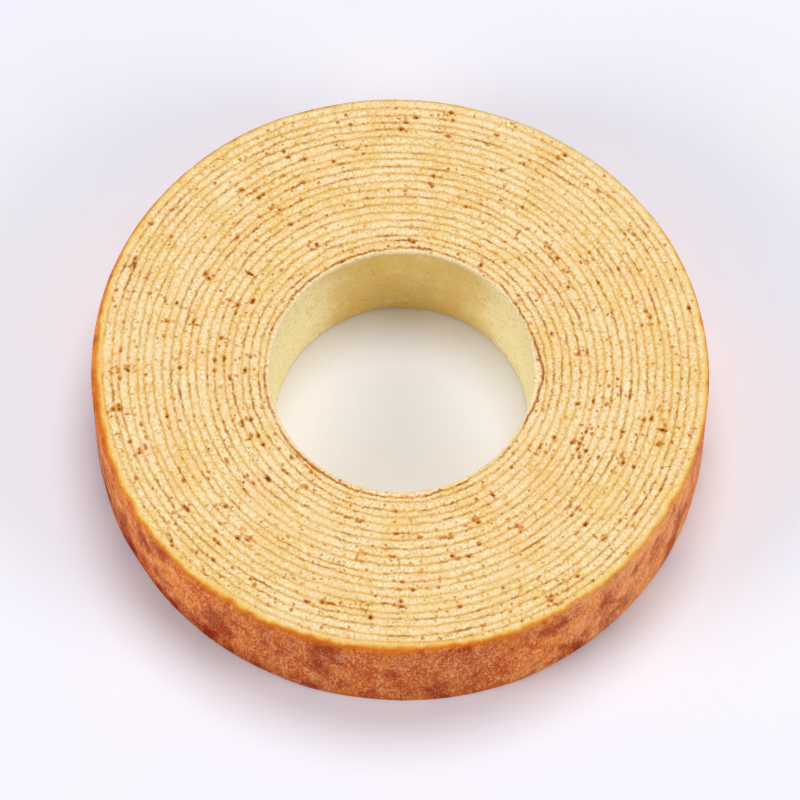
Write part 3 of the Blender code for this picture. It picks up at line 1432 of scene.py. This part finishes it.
@dataclass
class CrustCoat(Coat):
    """The last layer, with its rounded rim and the browned crust outside.

    A sector with a positive strength is painted shade, darker than the rest, and one with a negative strength
    is a painted sheen, paler and rosier. run_in_mm says how much further in the browning begins there than
    elsewhere, and foot_start_mm how far below the rim the very foot counts as lying.
    """

    spacing: float = 0.00050
    skin_margin: float = 0.00024
    top_rounding: float = 0.0014
    foot_rounding: float = 0.0008
    rim_steps: int = 8
    wall_step: float = 0.00052
    crust_relief: float = 0.00008
    foot_start_mm: float = 2.6
    map_strips: int = 4
    slot: str = "crust"
    bumps: ClassVar[tuple[tuple[float, float, int], ...]] = (
        (0.50, 5.5 * MM, 411),
        (0.30, 1.8 * MM, 413),
        (0.20, 0.9 * MM, 415),
    )
    shade_and_sheen_sectors: ClassVar[tuple[Lobe, ...]] = (
        Lobe(268.0, 34.0, 1.0, 4),
        Lobe(320.0, 26.0, -1.0, 4),
        Lobe(222.0, 14.0, 0.2, 4),
        Lobe(192.0, 12.0, 0.8, 4),
    )
    run_in_mm: ClassVar[tuple[Lobe, ...]] = (
        Lobe(185.0, 17.0, 1.1),
        Lobe(236.0, 5.0, 0.4),
        Lobe(270.0, 34.0, 0.4),
        Lobe(274.0, 10.0, 0.7),
        Lobe(331.0, 7.0, 0.4),
        Lobe(60.0, 85.0, -0.9),
    )

    def face_edges(self, face: Face, angles: np.ndarray) -> tuple[np.ndarray, np.ndarray]:
        """The layer's inner radius on a cut face, and where its rounded rim begins.

        Args:
            face: the upper or the lower cut face.
            angles: the directions, in radians.

        Returns:
            The two radii in each direction.
        """
        inner, outer = super().face_edges(face, angles)
        rounding = self.top_rounding if face is Face.UPPER else self.foot_rounding
        return inner, outer - self.skin_margin - rounding

    def run_in(self) -> np.ndarray:
        """How many millimetres further in the crust's browning has run, in each direction."""
        angles = self.angles()
        return sum(lobe.at(angles) for lobe in self.run_in_mm)[:, None]

    def down_on_face(self, from_inner: np.ndarray, width: np.ndarray) -> np.ndarray:
        """The distance to the rounded rim, negative."""
        return (from_inner - width) / MM + self.run_in()

    def side(self, upper: Strip, lower: Strip, side: Side) -> Strip:
        """The hidden inner side, or the crust from the rounded rim to the rounded foot.

        Args:
            upper: the upper cut face.
            lower: the lower cut face.
            side: the side that is wanted.

        Returns:
            The rows from the upper edge down to the lower one, without those edges.
        """
        if side is Side.INNER:
            return super().side(upper, lower, side)
        edges = Edge(upper, lower, side, self.top_rounding, self.foot_rounding, self.rim_steps)
        radius, height, below = edges.rounded_wall(self.form.height, self.wall_step)
        places = self.form.places(self.angles(), radius, height)
        rough = sum(share * relief(places, cell, seed) for share, cell, seed in self.bumps)
        radius = radius + self.crust_relief * rough * smooth_step(below, 0, 1.5)
        above_foot = (height - lower.height[:, [-1]]) / MM + self.foot_start_mm
        wall = Strip.wall(radius, height, np.minimum(below, above_foot) + self.run_in(), 1.0)
        # Painted light: the sectors store painted shade on the crust at the front and on the left, and a
        # painted rosy sheen at the front right.
        for sector in self.shade_and_sheen_sectors:
            wall.browning = wall.browning + sector.at(self.angles())[:, None]
        return wall


@dataclass(frozen=True)
class Edge:
    """The edges of both cut faces on one side of a layer, each turned into the wall by a quarter round."""

    upper: Strip
    lower: Strip
    side: Side
    upper_rounding: float
    lower_rounding: float
    steps: int

    def rounded_wall(self, height: float, wall_step: float) -> tuple[np.ndarray, np.ndarray, np.ndarray]:
        """Rows from the upper face's edge down to the lower one's, without those edges.

        Args:
            height: the cake's height.
            wall_step: height of one row of the wall.

        Returns:
            Radius, height, and millimetres of surface below the upper edge.
        """
        outwards = 1 if self.side is Side.OUTER else -1
        column = [self.side.value]
        turn = np.linspace(0, math.pi / 2, self.steps + 1)[None, 1:]
        top = self.upper.height[:, column]
        foot = self.lower.height[:, column]
        top_radius = self.upper.radius[:, column] + outwards * self.upper_rounding * np.sin(turn)
        top_height = top - self.upper_rounding * (1 - np.cos(turn))
        foot_turn = turn[:, ::-1]
        foot_radius = self.lower.radius[:, column] + outwards * self.lower_rounding * np.sin(foot_turn)
        foot_height = foot + self.lower_rounding * (1 - np.cos(foot_turn))
        share = np.linspace(0, 1, round(height / wall_step))[None, 1:-1]
        wall_radius = top_radius[:, [-1]] * (1 - share) + foot_radius[:, [0]] * share
        wall_height = top_height[:, [-1]] * (1 - share) + foot_height[:, [0]] * share
        arc_length = turn * self.upper_rounding + np.zeros_like(top)
        fallen = top_height[:, [-1]] - np.concatenate([wall_height, foot_height], axis=1)
        below = np.concatenate([arc_length, arc_length[:, [-1]] + fallen], axis=1) / MM
        radius = np.concatenate([top_radius, wall_radius, foot_radius], axis=1)
        return radius, np.concatenate([top_height, wall_height, foot_height], axis=1), below


@dataclass(frozen=True)
class Baumkuchen:
    """The whole cake: the first coat with the hole's skin, the coats of crumb, and the crust's coat."""

    form: CakeForm = CakeForm()

    def build(self) -> list[bpy.types.Object]:
        """Makes every layer, from the hole outwards.

        Returns:
            The pieces.
        """
        crumb = CrumbFinish().material()
        coats: list[Coat] = [HoleCoat(self.form, 0, HoleFinish().material())]
        coats += [Coat(self.form, index, crumb) for index in range(1, self.form.layer_count - 1)]
        coats.append(CrustCoat(self.form, self.form.layer_count - 1, CrustFinish().material()))
        pieces = []
        for coat in coats:
            piece = coat.build()
            log.info("%s: %d faces", piece.name, len(piece.data.polygons))
            pieces.append(piece)
        return pieces


@dataclass(frozen=True)
class Softbox:
    """A large soft lamp that points at the cake."""

    name: str
    place: Triple
    across: float
    watts: float
    color: Color = (1.0, 1.0, 1.0)

    def build(self) -> bpy.types.Object:
        """Puts the lamp in the scene.

        Returns:
            The lamp's object.
        """
        lamp = bpy.data.lights.new(self.name, "AREA")
        lamp.shape = "DISK"
        lamp.size = self.across
        lamp.energy = self.watts
        lamp.color = self.color
        holder = bpy.data.objects.new(self.name, lamp)
        holder.location = self.place
        holder.rotation_euler = (-Vector(self.place)).to_track_quat("-Z", "Y").to_euler()
        bpy.context.scene.collection.objects.link(holder)
        return holder


@dataclass(frozen=True)
class Studio:
    """The pale floor, the soft light and the camera."""

    floor_side: float = 6.0
    sky: Color = (1.0, 1.0, 1.0)
    sky_strength: float = 0.22
    lamps: tuple[Softbox, ...] = (
        Softbox("key", (0.08, 0.34, 1.10), 0.60, 6.3),
        Softbox("left", (-0.85, -0.38, 0.52), 0.50, 4.8),
        Softbox("right", (0.85, -0.38, 0.52), 0.50, 4.3),
    )
    camera_distance: float = 1.3446
    camera_elevation: float = 63.85
    view_pitch: float = 63.62
    view_roll: float = 0.30
    focal_pixels: float = 5060.0
    picture_pixels: float = 800.0
    sensor: float = 36.0
    farthest_seen: float = 50.0

    def floor(self) -> bpy.types.Object:
        """The floor that the cake lies on.

        Returns:
            The floor's object.
        """
        half = self.floor_side / 2
        mesh = bpy.data.meshes.new("floor")
        corners = [(-half, -half, 0), (half, -half, 0), (half, half, 0), (-half, half, 0)]
        mesh.from_pydata(corners, [], [(0, 1, 2, 3)])
        mesh.materials.append(FloorFinish().material())
        floor = bpy.data.objects.new("floor", mesh)
        bpy.context.scene.collection.objects.link(floor)
        return floor

    def light(self) -> None:
        """The pale surroundings and the lamps."""
        world = bpy.data.worlds.new("surroundings")
        world.use_nodes = True
        background = world.node_tree.nodes["Background"]
        background.inputs["Color"].default_value = (*self.sky, 1.0)
        background.inputs["Strength"].default_value = self.sky_strength
        bpy.context.scene.world = world
        for lamp in self.lamps:
            lamp.build()

    def camera(self) -> bpy.types.Object:
        """The camera, at the photograph's viewing angle.

        Returns:
            The camera's object.
        """
        lens = bpy.data.cameras.new("camera")
        lens.sensor_width = self.sensor
        lens.lens = self.sensor * self.focal_pixels / self.picture_pixels
        lens.clip_end = self.farthest_seen
        camera = bpy.data.objects.new("camera", lens)
        elevation = math.radians(self.camera_elevation)
        place = Vector((0, -math.cos(elevation), math.sin(elevation))) * self.camera_distance
        tilt = Matrix.Rotation(math.radians(90 - self.view_pitch), 4, "X")
        roll = Matrix.Rotation(math.radians(self.view_roll), 4, "Z")
        camera.matrix_world = Matrix.Translation(place) @ tilt @ roll
        bpy.context.scene.collection.objects.link(camera)
        bpy.context.scene.camera = camera
        return camera

    def build(self) -> None:
        """Sets the studio up."""
        self.camera()
        self.floor()
        self.light()
        bpy.context.scene.view_settings.view_transform = "Standard"


def main() -> None:
    """Builds the studio and the cake, and reports each piece."""
    logging.basicConfig(level=logging.INFO, format="%(name)s: %(message)s")
    Studio().build()
    pieces = Baumkuchen().build()
    log.info("%d pieces, %d faces in all", len(pieces), sum(len(piece.data.polygons) for piece in pieces))


if __name__ == "__main__":
    main()
